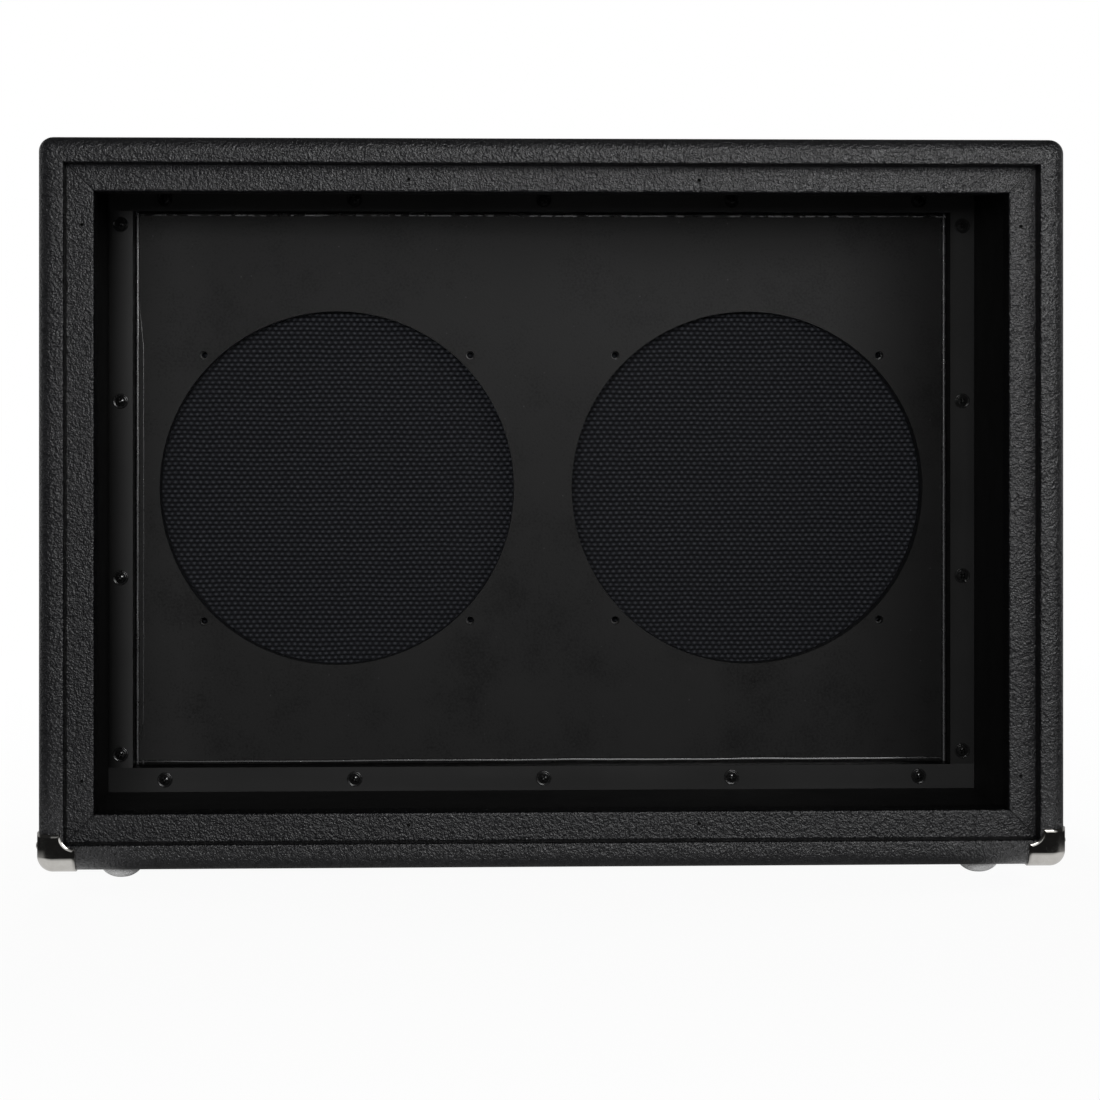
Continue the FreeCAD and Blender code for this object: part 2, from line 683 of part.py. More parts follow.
# tee nuts pressed in from the front of the baffle, four for each speaker
for name, speaker in (("left", -1), ("right", 1)):
    nut_name = f"tee_nuts_{name}"
    nuts = turned_body(nut_name, [
        (s.nut_bore / 2, -s.nut_flange_thick),
        (s.nut_flange_dia / 2, -s.nut_flange_thick),
        (s.nut_flange_dia / 2, ZERO),
        (s.nut_barrel_dia / 2, ZERO),
        (s.nut_barrel_dia / 2, s.nut_barrel_length),
        (s.nut_bore / 2, s.nut_barrel_length),
    ], many=True)
    array(nuts, "X_Axis", bolt_step * 2, as_size(2), "Y_Axis")
    first_x = speaker * speaker_x - bolt_step
    as_node(place(nuts, first_x, baffle_front_y, mid_z + bolt_step, UP_TO_REAR), nut_name)

# spacer frame on the front of the baffle, and the cloth stretched over it
for side in FRAME_SIDES:
    name = f"grille_spacer_{side}"
    spacer = frame_strip(
        name, side, (baffle_half_w, baffle_half_h), s.spacer_width, baffle_front_y, s.spacer_thick, False,
    )
    as_node(spacer, name)
cloth = place(new_body("grille_cloth"), z=mid_z)
cloth_w, cloth_h = baffle_half_w + s.cloth_thick, baffle_half_h + s.cloth_thick
cloth_face = new_sketch(cloth, "cloth_face", "XZ_Plane", -spacer_y)
draw_rectangle(cloth_face, -cloth_w, cloth_w, -cloth_h, cloth_h)
pad(cloth, cloth_face, s.cloth_thick)
cloth_return = new_sketch(cloth, "cloth_return", "XZ_Plane", -baffle_front_y)
draw_rectangle(cloth_return, -cloth_w, cloth_w, -cloth_h, cloth_h)
draw_rectangle(cloth_return, -baffle_half_w, baffle_half_w, -baffle_half_h, baffle_half_h)
pad(cloth, cloth_return, s.spacer_thick)
as_node(cloth, "grille_cloth")

# nothing is written unless every object is sound
doc.recompute()
faults = [thing.Name for thing in doc.Objects if {"Invalid", "Error"} & set(thing.State)]
faults += [name for name, thing in nodes.items() if thing.Shape.isNull() or not thing.Shape.isValid()]
faults += [name for name, thing in nodes.items() if not thing.Shape.Solids]
if faults:
    raise RuntimeError(f"not sound: {faults}")
os.makedirs("parts", exist_ok=True)
for name, thing in nodes.items():
    thing.Shape.exportStep(f"parts/{name}.step")
whole = FreeCAD.BoundBox()
for thing in nodes.values():
    whole.add(thing.Shape.BoundBox)
print(f"{len(nodes)} nodes, {whole.XLength:.1f} x {whole.YLength:.1f} x {whole.ZLength:.1f} mm")
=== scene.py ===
import bpy
import math
import numpy as np
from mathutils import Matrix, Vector


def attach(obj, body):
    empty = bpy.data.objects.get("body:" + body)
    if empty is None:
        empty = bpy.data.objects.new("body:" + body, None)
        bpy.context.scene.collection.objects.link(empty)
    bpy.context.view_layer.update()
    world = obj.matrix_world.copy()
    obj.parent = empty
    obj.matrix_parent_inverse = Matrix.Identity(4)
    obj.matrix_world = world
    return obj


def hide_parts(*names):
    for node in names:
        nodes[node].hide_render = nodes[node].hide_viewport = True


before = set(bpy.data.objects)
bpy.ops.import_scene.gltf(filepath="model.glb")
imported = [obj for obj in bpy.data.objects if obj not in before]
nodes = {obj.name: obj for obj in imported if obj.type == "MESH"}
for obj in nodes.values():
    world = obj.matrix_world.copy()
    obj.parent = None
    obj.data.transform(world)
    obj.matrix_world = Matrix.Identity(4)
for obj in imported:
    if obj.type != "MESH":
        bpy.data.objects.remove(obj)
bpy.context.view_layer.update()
scene = bpy.context.scene
scene.view_settings.view_transform = "Standard"
print("frame:", len(nodes), "nodes")

mm = 0.001
sides = ("top", "bottom", "left", "right")
midZ = 0.2659  # height of the cabinet's middle
insideW, insideH = 0.3397, 0.2363  # half the bare inside of the shell
strip, cover = 0.019, 0.0008  # width of a cleat or batten, thickness of the vinyl
openW, openH = insideW - strip, insideH - strip  # half the opening between the battens
noiseRange = (0.3, 0.7)  # most of a noise lies between these


def colour(shade):  # one number stands for a grey
    return (*shade, 1) if isinstance(shade, tuple) else (shade, shade, shade, 1)


def fill(node, inputs):  # links sockets, sets plain values
    for key, value in inputs.items():
        if isinstance(value, bpy.types.NodeSocket):
            node.id_data.links.new(value, node.inputs[key])
        else:
            node.inputs[key].default_value = value


def addNode(tree, kind, inputs=None, **props):
    made = tree.nodes.new("ShaderNode" + kind)
    for key, value in props.items():
        setattr(made, key, value)
    fill(made, inputs or {})
    return made


def maths(tree, kind, a, b=0.0):
    return addNode(tree, "Math", {0: a, 1: b}, operation=kind).outputs[0]


def axes(tree, place):
    return addNode(tree, "SeparateXYZ", {0: place}).outputs


def blend(tree, share, first, second, kind="MIX"):
    inputs = {"Factor": share, 6: first, 7: second}
    return addNode(tree, "Mix", inputs, data_type="RGBA", blend_type=kind).outputs[2]


def ramp(tree, value, stops):
    made = addNode(tree, "ValToRGB", {"Fac": value})
    line = made.color_ramp
    while len(line.elements) < len(stops):
        line.elements.new(0.5)
    for element, (spot, shade) in zip(line.elements, stops):
        element.position = spot
        element.color = colour(shade)
    return made.outputs["Color"]


def span(tree, value, low, high, toLow, toHigh):
    return addNode(tree, "MapRange", {
        "Value": value, "From Min": low, "From Max": high, "To Min": toLow, "To Max": toHigh,
    }).outputs["Result"]


def newMaterial(name):
    made = bpy.data.materials.new(name)
    made.use_nodes = True
    tree = made.node_tree
    shader = tree.nodes["Principled BSDF"]
    place = addNode(tree, "TexCoord").outputs["Object"]
    return made, tree, shader, place


def noise(tree, place, scale, detail=2.0, rough=0.5, stretch=None):
    if stretch:
        place = addNode(tree, "Mapping", {"Vector": place, "Scale": stretch}).outputs["Vector"]
    return addNode(tree, "TexNoise", {
        "Vector": place, "Scale": scale, "Detail": detail, "Roughness": rough,
    }).outputs["Fac"]


def bump(tree, height, strength, depth, normal=None):
    inputs = {"Height": height, "Strength": strength, "Distance": depth}
    if normal:
        inputs["Normal"] = normal
    return addNode(tree, "Bump", inputs).outputs["Normal"]


def inward(tree, place, half, near, far):  # 0 on the faces that look inward at this half size, 1 further out
    axis = axes(tree, place)
    outX = maths(tree, "SUBTRACT", maths(tree, "ABSOLUTE", axis["X"]), half[0])
    level = maths(tree, "SUBTRACT", axis["Z"], midZ)
    outZ = maths(tree, "SUBTRACT", maths(tree, "ABSOLUTE", level), half[1])
    diagonal = maths(tree, "ABSOLUTE", maths(tree, "SUBTRACT", outX, outZ))
    return span(tree, maths(tree, "MAXIMUM", outX, outZ), near, far, 0.0, 1.0), diagonal


def paint(names, material):
    for name in names:
        nodes[name].data.materials.clear()
        nodes[name].data.materials.append(material)


softEdge = {"weld": 0.00001, "flat": 1, "sharp": 40, "even": 100}  # metres, degrees, degrees, weight


def soften(names, width, steps=2, blended=False):
    for name in names:
        weld = nodes[name].modifiers.new("weld", "WELD")
        weld.merge_threshold = softEdge["weld"]
        flat = nodes[name].modifiers.new("flat", "DECIMATE")
        flat.decimate_type = "DISSOLVE"
        flat.angle_limit = math.radians(softEdge["flat"])
        edge = nodes[name].modifiers.new("edge", "BEVEL")
        edge.width = width
        edge.segments = steps
        edge.limit_method = "ANGLE"
        edge.angle_limit = math.radians(softEdge["sharp"])
        edge.loop_slide = False
        edge.harden_normals = not blended
        if blended:
            even = nodes[name].modifiers.new("even", "WEIGHTED_NORMAL")
            even.weight = softEdge["even"]
            even.keep_sharp = True


def addPiece(name, points, faces, material, replaced, slot, crease=35):
    mesh = bpy.data.meshes.new(name)
    mesh.from_pydata([tuple(p) for p in points], [], faces)
    mesh.polygons.foreach_set("use_smooth", [True] * len(mesh.polygons))
    mesh.set_sharp_from_angle(angle=math.radians(crease))
    mesh.materials.append(material)
    made = bpy.data.objects.new(name, mesh)
    scene.collection.objects.link(made)
    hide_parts(*replaced)
    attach(made, "root")
    return made


def bridge(rings, closed):  # skins the rings, and caps both ends of an open run
    count = len(rings[0])
    points = [p for ring in rings for p in ring]
    last = len(rings) if closed else len(rings) - 1
    faces = []
    for i in range(last):
        a, b = i * count, (i + 1) % len(rings) * count
        faces += [(a + j, a + (j + 1) % count, b + (j + 1) % count, b + j) for j in range(count)]
    if not closed:
        faces.append(tuple(reversed(range(count))))
        faces.append(tuple(range((len(rings) - 1) * count, len(rings) * count)))
    return points, faces


def arc(midA, midB, radius, start, end, steps):
    turns = [math.radians(start + (end - start) * i / steps) for i in range(steps + 1)]
    return [(midA + radius * math.cos(a), midB + radius * math.sin(a)) for a in turns]


# camera
cam = {"lens": 88.354, "sensor": 36, "shift": -0.1556, "place": (0.067, 2.0244, 0.3522), "yaw": 0.034}
camData = bpy.data.cameras.new("camera")
camera = bpy.data.objects.new("camera", camData)
scene.collection.objects.link(camera)
camData.lens = cam["lens"]
camData.sensor_width = cam["sensor"]
camData.shift_y = cam["shift"]
camera.location = cam["place"]
camera.rotation_euler = (math.pi / 2, 0, math.pi - cam["yaw"])
scene.camera = camera
print("camera set")

# studio: white to the camera, dim in reflections apart from one white wall and a paler room behind the cabinet
studio = {
    "ambient": 0.07, "room": 0.02,
    "wall": 1.0, "white": (-20, 7), "edge": (40, 6), "fade": 2.2,  # degrees aside and up, then to its edge and full
    "behind": 0.3, "behindFrom": (-0.15, -0.5), "behindUp": (0.25, 0.5, 1.0, 0.1),
}
world = bpy.data.worlds.new("studio")
scene.world = world
world.use_nodes = True
tree = world.node_tree
path = addNode(tree, "LightPath").outputs
looking = addNode(tree, "TexCoord").outputs["Generated"]
aside, above = (math.tan(math.radians(a)) for a in studio["white"])
toWall = Vector((aside, 1.0, above)).normalized()
wall = addNode(tree, "VectorMath", {0: looking, 1: toWall}, operation="DOT_PRODUCT").outputs["Value"]
wall = span(tree, wall, *(math.cos(math.radians(a)) for a in studio["edge"]), 0.0, 1.0)
wall = span(tree, maths(tree, "POWER", wall, studio["fade"]), 0.0, 1.0, studio["room"], studio["wall"])
axis = axes(tree, looking)
behind = span(tree, axis["Y"], *studio["behindFrom"], 0.0, studio["behind"])
behind = maths(tree, "MULTIPLY", behind, span(tree, axis["Z"], *studio["behindUp"]))
dim = span(tree, path["Is Glossy Ray"], 0.0, 1.0, studio["ambient"], maths(tree, "MAXIMUM", wall, behind))
clear = maths(tree, "MAXIMUM", path["Is Camera Ray"], path["Is Transmission Ray"])
fill(tree.nodes["Background"], {"Color": colour(1.0), "Strength": maths(tree, "MAXIMUM", clear, dim)})

# floor: metal sees it pale beside and close under the rear corners, and dim further off
ground = {
    "shade": 0.7, "rough": 0.9, "shine": 0.1, "half": 30,
    "white": (0.6, 1.6, 0.95, 1.0),  # distances, and how white the camera sees the floor there
    "front": (0.18, 0.24, 1.0, 0.0), "side": (0.3, 0.333, 0.12, 1.0), "close": (0.06, 0.16, 0.7, 0.0),
    "dim": 0.012, "behindFrom": (0.05, -0.4),
}
floorMat, tree, shader, place = newMaterial("floor")
fill(shader, {
    "Base Color": colour(ground["shade"]), "Roughness": ground["rough"], "Specular IOR Level": ground["shine"],
})
path = addNode(tree, "LightPath").outputs
away = addNode(tree, "VectorMath", {0: place}, operation="LENGTH").outputs["Value"]
aside, ahead = axes(tree, place)[:2]
beside = span(tree, ahead, *ground["front"])
beside = maths(tree, "MULTIPLY", beside, span(tree, maths(tree, "ABSOLUTE", aside), *ground["side"]))
beside = maths(tree, "MULTIPLY", beside, span(tree, path["Ray Length"], *ground["close"]))
beside = span(tree, beside, 0.0, 1.0, ground["dim"], 1.0)
behind = span(tree, ahead, *ground["behindFrom"], 0.0, studio["behind"])
level = span(tree, path["Is Glossy Ray"], 0.0, 1.0, 1.0, maths(tree, "MAXIMUM", beside, behind))
seen = maths(tree, "MULTIPLY", path["Is Camera Ray"], span(tree, away, *ground["white"]))
share = maths(tree, "MAXIMUM", seen, path["Is Glossy Ray"])
glow = addNode(tree, "Emission", {"Color": colour(1.0), "Strength": level})
both = addNode(tree, "MixShader", {0: share, 1: shader.outputs[0], 2: glow.outputs[0]})
fill(tree.nodes["Material Output"], {"Surface": both.outputs[0]})
floorMesh = bpy.data.meshes.new("floor")
half = ground["half"]
floorMesh.from_pydata([(-half, -half, 0), (half, -half, 0), (half, half, 0), (-half, half, 0)], [], [(0, 1, 2, 3)])
floorMesh.materials.append(floorMat)
floor = bpy.data.objects.new("floor", floorMesh)
scene.collection.objects.link(floor)

# lamps: one beside the camera, a panel that only shines in the vinyl, and soft ones for the other sides
lamps = {
    "keyLamp": {"spot": (0.22, 2.35, 0.55), "power": 46, "size": (0.8, 0.24)},
    "sheenPanel": {"spot": (-0.46, 1.4, 0.8), "power": 4.9, "size": (0.9, 0.4), "aim": (-0.1, 0, 0.45),
                   "mirrored": True, "lighting": False},
    "rightLamp": {"spot": (1.8, -0.6, 0.9), "power": 12},
    "leftLamp": {"spot": (-1.8, -0.5, 0.9), "power": 18},
    "topLamp": {"spot": (0.0, -1.0, 1.9), "power": 13},
    "frontLamp": {"spot": (0.6, -2.3, 0.9), "power": 40},
}


def softLamp(name, spot, power, size=(0.8, 0.6), aim=(0.0, 0, 0.3), mirrored=False, lighting=True):
    data = bpy.data.lights.new(name, "AREA")
    data.shape = "RECTANGLE"
    data.size, data.size_y = size
    data.energy = power
    lamp = bpy.data.objects.new(name, data)
    scene.collection.objects.link(lamp)
    lamp.location = spot
    lamp.rotation_euler = (Vector(aim) - Vector(spot)).to_track_quat("-Z", "Y").to_euler()
    lamp.visible_camera = False
    lamp.visible_glossy = mirrored
    lamp.visible_diffuse = lighting


for name, lamp in lamps.items():
    softLamp(name, **lamp)
print("studio set")

# vinyl covering: irregular leather grain, shining softly, with painted shade where it turns inward
vinyl = {
    "shades": [(0.0, 0.0015), (0.12, (0.0035, 0.0035, 0.004)), (0.8, (0.0105, 0.0105, 0.0118))],
    "cells": 460.0, "cell": (0.1, 0.75), "drift": 330.0, "warp": 0.0036, "uneven": 850.0, "unevenShare": 0.4,
    "patches": 14.0, "patchy": (0.85, 1.1), "fine": 2600.0, "rough": (0.36, 0.5), "coatRough": 0.26, "shine": 0.9,
    "body": 1.0, "coat": 0.7, "depth": 0.0009, "fineBump": (0.2, 0.0001), "coated": (0.15, 0.6, 0.3, 1.0),
    "turn": (0.0002, 0.0009), "mitre": (0.0002, 0.001, 0.3, 1.0),
}


def leather(name, half, shadeLevel, mitred=False):
    material, tree, shader, place = newMaterial(name)
    drift = addNode(tree, "TexNoise", {"Vector": place, "Scale": vinyl["drift"], "Detail": 2.0}).outputs["Color"]
    drift = addNode(tree, "VectorMath", {0: drift, 1: (0.5, 0.5, 0.5)}, operation="SUBTRACT").outputs[0]
    drift = addNode(tree, "VectorMath", {0: drift, "Scale": vinyl["warp"]}, operation="SCALE").outputs[0]
    bent = addNode(tree, "VectorMath", {0: place, 1: drift}, operation="ADD").outputs[0]
    cells = addNode(tree, "TexVoronoi", {"Vector": bent, "Scale": vinyl["cells"]}, feature="SMOOTH_F1")
    pebble = span(tree, cells.outputs["Distance"], *vinyl["cell"], 1.0, 0.0)
    uneven = span(tree, noise(tree, place, vinyl["uneven"]), *noiseRange, 0.0, 1.0)
    grain = addNode(tree, "Mix", {"Factor": vinyl["unevenShare"], 2: pebble, 3: uneven}).outputs[0]
    # painted shade: darker colour and no shine on the faces that turn inward
    lit, diagonal = inward(tree, place, half, *vinyl["turn"])
    lit = span(tree, lit, 0.0, 1.0, shadeLevel, 1.0)
    if mitred:
        grain = maths(tree, "MULTIPLY", grain, span(tree, diagonal, *vinyl["mitre"]))
    patchy = span(tree, noise(tree, place, vinyl["patches"], 3.0), *noiseRange, *vinyl["patchy"])
    # painted shade in the grain's creases and painted highlight on its pebble tops, as the colour follows the grain
    tone = maths(tree, "MULTIPLY", maths(tree, "MULTIPLY", grain, patchy), lit)
    fine = noise(tree, place, vinyl["fine"])
    fill(shader, {
        "Base Color": ramp(tree, tone, vinyl["shades"]),
        "Roughness": span(tree, fine, *noiseRange, *vinyl["rough"]),
        "Specular IOR Level": span(tree, lit, 0.0, 1.0, 0.0, vinyl["shine"]),
        "Normal": bump(tree, grain, vinyl["body"], vinyl["depth"], bump(tree, fine, *vinyl["fineBump"])),
        "Coat Weight": maths(tree, "MULTIPLY", lit, span(tree, grain, *vinyl["coated"])),
        "Coat Roughness": vinyl["coatRough"],
        "Coat Normal": bump(tree, grain, vinyl["coat"], vinyl["depth"]),
    })
    return material


vinylMat = leather("pebbledVinyl", (insideW - cover, insideH - cover), shadeLevel=0.2)
cleatCovers = ["cleat_covering_" + s for s in sides]
paint(cleatCovers, leather("mitredVinyl", (openW - cover, openH - cover), shadeLevel=0.1, mitred=True))

# the shell's covering: one strip up the sides and over the top, one underneath; sizes in mm, then counts
wrap = {"halfW": 357.3, "halfH": 253.9, "rim": 152.5, "round": 10, "lip": 1.6, "deep": 18.4, "thick": 0.8,
        "rearEnd": 136.75, "frontEnd": -129.5, "seam": 334.5, "gap": 0.15, "sink": 0.3, "ease": 0.8,
        "underInset": 20, "turns": 8, "lipTurns": 5, "flats": 12, "bays": 10, "underBays": 20}


def wrapProfile(sink):  # how far in from the outside, and y, round the section of a strip
    r, lip, rim, deep, thick, turns = (wrap[k] for k in ("round", "lip", "rim", "deep", "thick", "turns"))
    lipAt, lipY, outY = deep - lip, rim - lip, rim - r
    outer = [(deep - sink, wrap["frontEnd"])]
    outer += arc(lipAt, -lipY, lip - sink, 0, -90, wrap["lipTurns"])
    outer += arc(r, -outY, r - sink, -90, -180, turns)
    outer += [(sink, y) for y in np.linspace(-outY, outY, wrap["flats"])[1:-1]]
    outer += arc(r, outY, r - sink, 180, 90, turns)
    outer += arc(lipAt, lipY, lip - sink, 90, 0, wrap["lipTurns"])
    outer.append((deep - sink, wrap["rearEnd"]))
    wall = deep - thick
    inner = [(wall, wrap["rearEnd"]), (wall, rim - thick)]
    inner += arc(r, outY, r - thick, 90, 180, turns)
    inner += arc(r, -outY, r - thick, 180, 270, turns)
    inner += [(wall, thick - rim), (wall, wrap["frontEnd"])]
    return outer + inner


def wrapRing(fx, fz, cx, cz, sink=0.0, atX=None):  # at this share of the half sizes, facing this way at a corner
    ring = []
    for inset, y in wrapProfile(sink):
        past, left = max(inset, wrap["round"]), max(wrap["round"] - inset, 0)
        x = fx * (wrap["halfW"] - past) + cx * left if atX is None else atX
        z = fz * (wrap["halfH"] - past) + cz * left
        ring.append((x * mm, y * mm, midZ + z * mm))
    return ring


def wrapEnd(x, way):  # sinks a little, so that the seam shows
    return [wrapRing(0, -1, 0, -1, wrap["sink"], x), wrapRing(0, -1, 0, -1, 0, x + way * wrap["ease"])]


def turnCorner(fx, fz, start):
    turns = [math.radians(start + 90 * i / wrap["turns"]) for i in range(wrap["turns"] + 1)]
    return [wrapRing(fx, fz, math.cos(a), math.sin(a)) for a in turns]


steps = [i / wrap["bays"] - 1 for i in range(1, 2 * wrap["bays"])]
rings = wrapEnd(wrap["seam"] + wrap["gap"], 1)
rings += turnCorner(1, -1, -90) + [wrapRing(1, f, 1, 0) for f in steps]
rings += turnCorner(1, 1, 0) + [wrapRing(-f, 1, 0, 1) for f in steps]
rings += turnCorner(-1, 1, 90) + [wrapRing(-1, -f, -1, 0) for f in steps]
rings += turnCorner(-1, -1, 180) + wrapEnd(-wrap["seam"] - wrap["gap"], -1)[::-1]
addPiece("wrapTopAndSides", *bridge(rings, False), vinylMat, ["top_and_sides_covering"], "vinyl_covering")
reach = wrap["seam"] - wrap["gap"]
inner = reach - wrap["underInset"]
rings = wrapEnd(-reach, 1) + [wrapRing(0, -1, 0, -1, 0, x) for x in np.linspace(-inner, inner, wrap["underBays"])]
rings += wrapEnd(reach, -1)[::-1]
addPiece("wrapUnderside", *bridge(rings, False), vinylMat, ["bottom_covering"], "vinyl_covering")
print("vinyl done")

# black stained and painted wood, with painted shade making it nearly black on faces that look inward where asked
wood = {"streaks": 60.0, "blotch": 9.0, "tones": (0.7, 1.3), "grainUnderShade": (0.9, 1.1), "depth": 0.0003, "shine": 0.25,
        "dark": 0.0015, "darkShine": 0.02, "turn": (0.00005, 0.0003)}
coats = {
    "panel": {"shades": (0.006, 0.01), "gloss": (0.5, 0.7), "grain": 0.3},
    "cleat": {"shades": (0.02, 0.05), "gloss": (0.6, 0.8), "grain": 0.3},
    "batten": {"gloss": (0.28, 0.36), "grain": 0.12, "shadeInside": (openW, openH)},
    "spacer": {"shades": (0.006, 0.012), "gloss": (0.5, 0.7), "grain": 0.2},
}
battenLooks = {  # painted light on the bottom one, and a painted shadow darkening one toward the wall
    "top": {"shades": (0.009, 0.014)}, "bottom": {"shades": (0.017, 0.023)},
    "left": {"shades": (0.009, 0.014)}, "right": {"shades": (0.001, 0.045), "shadingAcross": (insideW, openW)},
}
alongX, alongZ = (0.08, 1.0, 1.0), (1.0, 1.0, 0.08)  # how the grain is drawn out


def blackWood(name, stretch, shades, gloss, grain, shadingAcross=None, shadeInside=None):
    material, tree, shader, place = newMaterial(name)
    streaks = noise(tree, place, wood["streaks"], 4.0, 0.6, stretch)
    blotch = noise(tree, place, wood["blotch"], 4.0, 0.6)
    tone = span(tree, maths(tree, "ADD", streaks, blotch), *wood["tones"], 0.0, 1.0)
    # painted shadow: darker across the batten toward the wall
    if shadingAcross:
        across = span(tree, axes(tree, place)["X"], *shadingAcross, 0.0, 1.0)
        tone = maths(tree, "MULTIPLY", across, span(tree, tone, 0.0, 1.0, *wood["grainUnderShade"]))
    base = ramp(tree, tone, [(0.0, shades[0]), (1.0, shades[1])])
    shine = wood["shine"]
    # painted shade: near black with little shine on the faces that look inward
    if shadeInside:
        lit = inward(tree, place, shadeInside, *wood["turn"])[0]
        base = blend(tree, lit, colour(wood["dark"]), base)
        shine = span(tree, lit, 0.0, 1.0, wood["darkShine"], shine)
    fill(shader, {
        "Base Color": base, "Specular IOR Level": shine,
        "Roughness": span(tree, blotch, *noiseRange, *gloss),
        "Normal": bump(tree, streaks, grain, wood["depth"]),
    })
    return material


paint(["top_panel", "bottom_panel"], blackWood("stainAcross", alongX, **coats["panel"]))
paint(["left_side_panel", "right_side_panel"], blackWood("stainUpright", alongZ, **coats["panel"]))
for side in sides:
    lie = alongX if side in ("top", "bottom") else alongZ
    paint(["rear_cleat_" + side], blackWood("cleatWood_" + side, lie, **coats["cleat"]))
    coat = blackWood("battenPaint_" + side, lie, **coats["batten"], **battenLooks[side])
    paint(["baffle_batten_" + side], coat)
    paint(["grille_spacer_" + side], blackWood("spacerPaint_" + side, lie, **coats["spacer"]))

# baffle: rolled black paint, cloudy, with specks of dust, a painted shadow at one end and painted light at the other
baffle = {
    "shades": (0.0098, 0.017), "tones": (0.75, 1.25), "cloud": 16.0, "stipple": 520.0, "stippleBump": (0.35, 0.0002),
    "dust": 130.0, "fleck": (0.04, 0.09), "rare": (0.72, 0.95), "speck": 0.05, "gloss": (0.27, 0.37), "shine": 0.16,
    "across": (-0.31, 0.32), "ends": [(0.0, 0.5), (0.13, 0.92), (0.9, 0.95), (1.0, 1.3)],
}
baffleMat, tree, shader, place = newMaterial("bafflePaint")
cloud = noise(tree, place, baffle["cloud"], 6.0, 0.7)
stipple = noise(tree, place, baffle["stipple"], 3.0, 0.6)
base = ramp(tree, maths(tree, "ADD", cloud, stipple), list(zip(baffle["tones"], baffle["shades"])))
dust = addNode(tree, "TexVoronoi", {"Vector": place, "Scale": baffle["dust"]}).outputs
fleck = span(tree, dust["Distance"], *baffle["fleck"], 1.0, 0.0)
rare = span(tree, addNode(tree, "SeparateColor", {0: dust["Color"]}).outputs[0], *baffle["rare"], 0.0, 1.0)
base = blend(tree, maths(tree, "MULTIPLY", fleck, rare), base, colour(baffle["speck"]))
# painted shadow toward one end and painted light at the other, in colour and shine
shadingAcross = ramp(tree, span(tree, axes(tree, place)["X"], *baffle["across"], 0.0, 1.0), baffle["ends"])
fill(shader, {
    "Base Color": blend(tree, 1.0, base, shadingAcross, "MULTIPLY"),
    "Roughness": span(tree, cloud, *noiseRange, *baffle["gloss"]),
    "Specular IOR Level": span(tree, shadingAcross, 0.0, 1.0, 0.0, baffle["shine"]),
    "Normal": bump(tree, stipple, *baffle["stippleBump"]),
})
paint(["baffle_board"], baffleMat)
print("wood done")

# metal: zinc nuts, bright corners with edges rolled inward, feet, and black screws with painted shade in their recesses
finishes = {
    "zinc": {"shades": (0.1, 0.26), "gloss": (0.35, 0.55), "scale": 500.0},
    "brightCorner": {"shades": ((0.59, 0.57, 0.54), (0.7, 0.685, 0.65)), "gloss": (0.04, 0.14), "scale": 120.0,
                     "rolled": {"legX": 0.3313, "legZ": 0.038, "bite": 0.01, "wide": 0.0026, "drop": 0.0008}},
    # painted reflection: the feet are mostly a pale diffuse colour that stands in for the pale floor they reflect
    "brightFoot": {"shades": (0.82, 0.9), "gloss": (0.2, 0.34), "scale": 200.0, "metallic": 0.3},
    "blackScrew": {"shades": (0.13, 0.2), "gloss": (0.14, 0.22), "scale": 900.0, "metallic": 0.96,
                   "hollowShade": {"reach": 0.002, "stops": [(0.45, 0.02), (0.9, 1.0)]}},
}


def rolledEdge(tree, place, rolled):  # drops towards both legs of the corner and the bite between them
    axis = axes(tree, place)
    out = maths(tree, "SUBTRACT", maths(tree, "ABSOLUTE", axis["X"]), rolled["legX"])
    down = maths(tree, "SUBTRACT", rolled["legZ"], axis["Z"])
    squares = maths(tree, "ADD", maths(tree, "POWER", out, 2.0), maths(tree, "POWER", down, 2.0))
    bite = maths(tree, "SUBTRACT", maths(tree, "SQRT", squares), rolled["bite"])
    legs = maths(tree, "MINIMUM", maths(tree, "ABSOLUTE", out), maths(tree, "ABSOLUTE", down))
    rest = span(tree, maths(tree, "MINIMUM", legs, bite), 0.0, rolled["wide"], 1.0, 0.0)
    return maths(tree, "MULTIPLY", maths(tree, "POWER", rest, 2.0), -rolled["drop"])


def metal(name, shades, gloss, scale, metallic=1.0, rolled=None, hollowShade=None):
    material, tree, shader, place = newMaterial(name)
    smudge = noise(tree, place, scale, 4.0, 0.6)
    base = ramp(tree, smudge, list(zip(noiseRange, shades)))
    if hollowShade:
        # painted shade darkening the screws' recesses
        unoccluded = addNode(tree, "AmbientOcclusion", {"Distance": hollowShade["reach"]}, samples=8).outputs["AO"]
        base = blend(tree, 1.0, base, ramp(tree, unoccluded, hollowShade["stops"]), "MULTIPLY")
    fill(shader, {
        "Base Color": base, "Roughness": span(tree, smudge, 0.35, 0.7, *gloss), "Metallic": metallic,
    })
    if rolled:
        fill(shader, {"Normal": bump(tree, rolledEdge(tree, place, rolled), 1.0, 1.0)})
    return material


metals = {name: metal(name, **finish) for name, finish in finishes.items()}
ends = ("front_left", "front_right", "rear_left", "rear_right")
corners = ["corner_" + e for e in ends]
paint(["tee_nuts_left", "tee_nuts_right"], metals["zinc"])
paint(corners + ["corner_screws"], metals["brightCorner"])
paint(["foot_" + e for e in ends], metals["brightFoot"])
print("metal done")

eased = {"batten": 0.6 * mm, "baffle": 0.7 * mm, "corner": 0.5 * mm}  # widths of the softened edges
soften(["baffle_batten_" + s for s in sides], eased["batten"])
soften(["baffle_board"], eased["baffle"])
soften(corners, eased["corner"], steps=3, blended=True)

